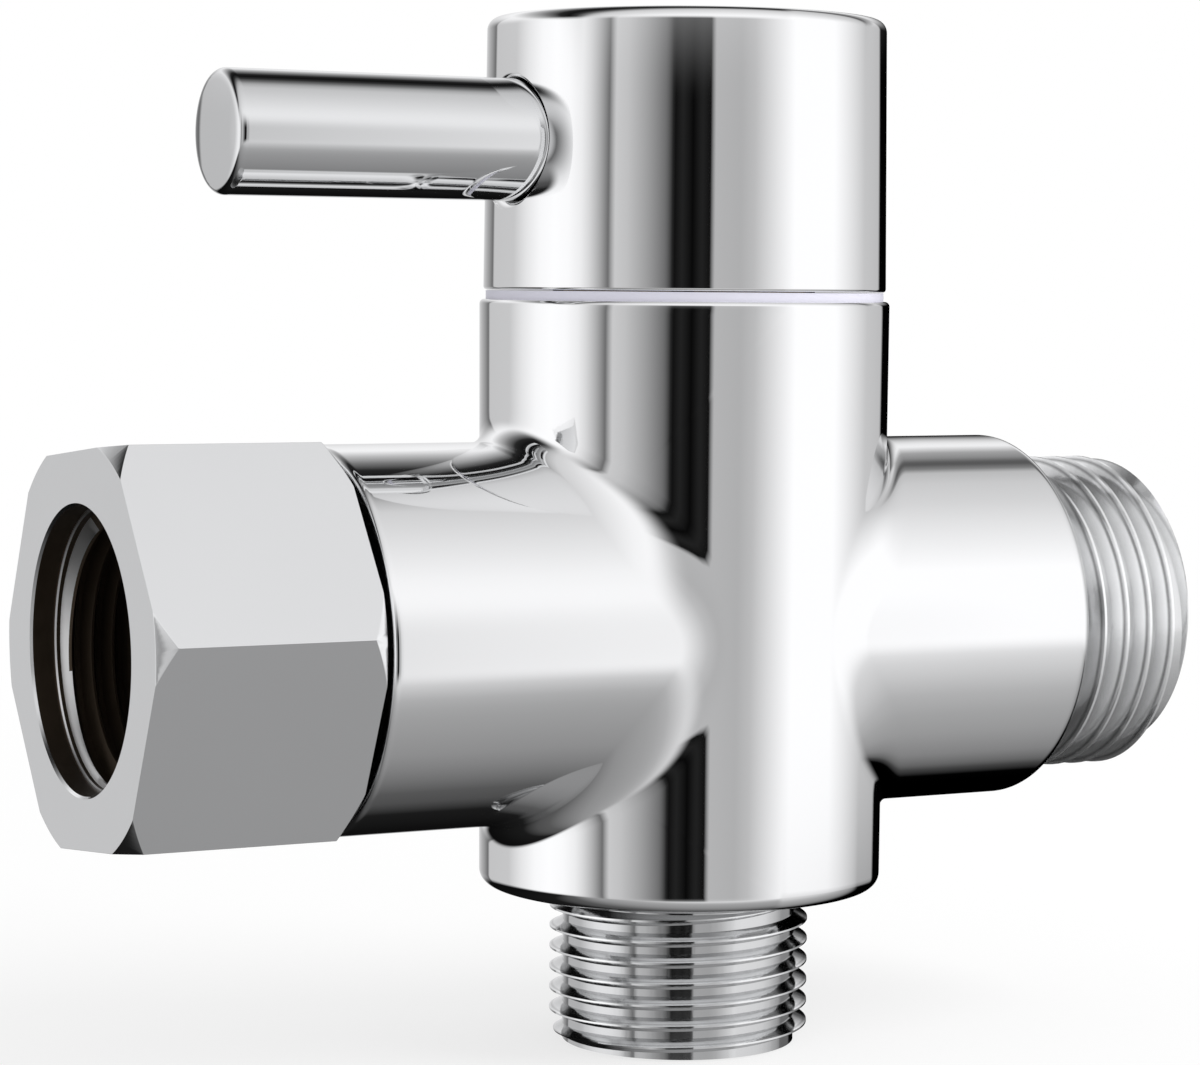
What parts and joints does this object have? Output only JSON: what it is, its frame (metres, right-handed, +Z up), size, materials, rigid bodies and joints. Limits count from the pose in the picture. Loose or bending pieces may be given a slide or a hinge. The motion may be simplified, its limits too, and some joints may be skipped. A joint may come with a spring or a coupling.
{
  "type": "three-way shower tee valve",
  "caption": "Chromed three-way tee valve: union nut inlet, threaded main outlet in line, smaller threaded branch outlet below, lever knob on top that diverts the water.",
  "frame": {"origin": "centre of the branch outlet's end face, the lowest point of the valve", "axes": "+Z up along the barrel and the spindle, +X along the arms from the union nut to the main outlet, -Y towards the viewer"},
  "size_m": [0.0742, 0.0272, 0.0654],
  "materials": {
    "chrome_casting": "polished chrome plate on cast brass",
    "chrome_handle": "polished chrome plate",
    "chrome_nut": "satin chrome plate on brass",
    "brass": "machined",
    "spring_steel": "drawn wire",
    "screw_steel": "blackened",
    "ceramic": "lapped white ceramic",
    "housing_plastic": "moulded",
    "slide_plastic": "moulded",
    "glide_plastic": "pale lilac-white, moulded",
    "seal_rubber": "moulded"
  },
  "bodies": {
    "root": {"valve_body": "chrome_casting", "base_seal": "seal_rubber", "fixed_disc": "ceramic", "cartridge_housing": "housing_plastic", "housing_o_ring": "seal_rubber", "bonnet_nut": "brass", "glide_ring": "glide_plastic", "nut_retaining_ring": "spring_steel", "inlet_washer": "seal_rubber"},
    "union_nut": {"swivel_nut": "chrome_nut"},
    "handle": {"knob": "chrome_handle", "lever": "chrome_handle", "spline_insert": "brass", "grub_screw": "screw_steel", "spindle": "brass", "lower_o_ring": "seal_rubber", "upper_o_ring": "seal_rubber", "thrust_washer": "slide_plastic", "spindle_clip": "spring_steel", "moving_disc": "ceramic"}
  },
  "joints": [
    {"name": "handle_turn", "type": "hinge", "parent": "root", "child": "handle", "pos_m": [0, 0, 0.0482], "axis": [0, 0, 1], "range_deg": [0, 180]},
    {"name": "nut_spin", "type": "hinge", "parent": "root", "child": "union_nut", "pos_m": [-0.0264, 0, 0.0267], "axis": [1, 0, 0], "continuous": true}
  ]
}
